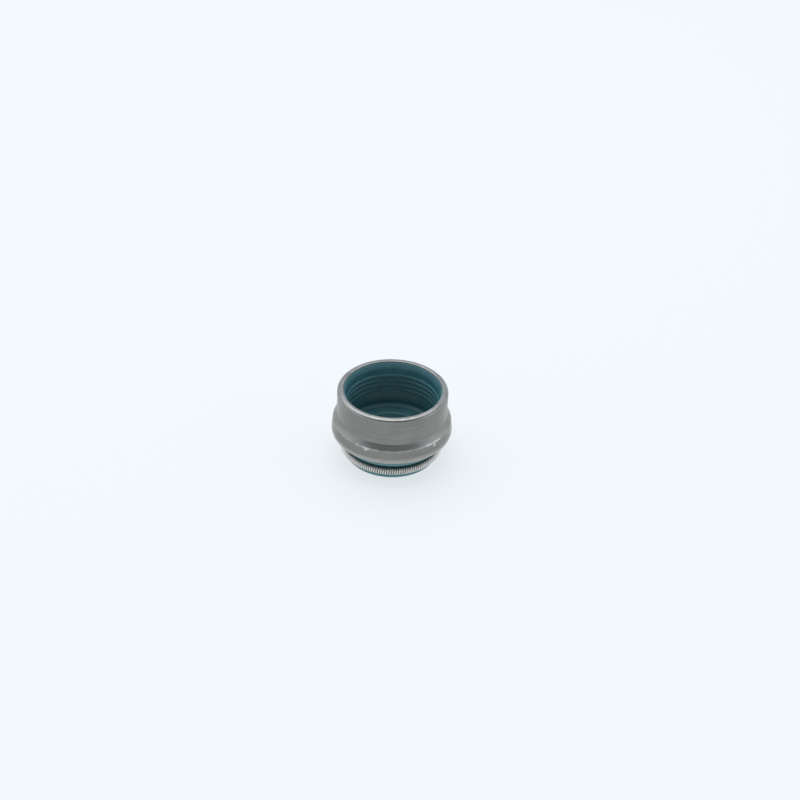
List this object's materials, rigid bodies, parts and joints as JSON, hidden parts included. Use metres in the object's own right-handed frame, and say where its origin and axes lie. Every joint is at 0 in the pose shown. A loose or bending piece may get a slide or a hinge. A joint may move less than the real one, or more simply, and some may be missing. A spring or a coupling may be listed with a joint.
{
  "type": "valve stem seal",
  "caption": "Round valve stem seal: a stepped steel case lined with ribbed rubber that grips a valve guide, with a sealing lip held to the stem by a garter spring.",
  "frame": {"origin": "on the seal's axis, at the level of the flat rubber ring at the lip end that it rests on", "axes": "+Z along the axis from the lip end to the wide mouth that goes over the valve guide; X and Y are any two directions across it, since the seal is round"},
  "size_m": [0.0156, 0.0156, 0.0098],
  "materials": {
    "case_steel": "bare drawn steel, satin grey with fine turning marks",
    "seal_rubber": "smooth moulded rubber, dark teal, slightly glossy",
    "spring_wire": "bright drawn spring wire"
  },
  "bodies": {
    "root": {"steel_case": "case_steel", "rubber_body": "seal_rubber", "garter_spring": "spring_wire"}
  },
  "joints": []
}
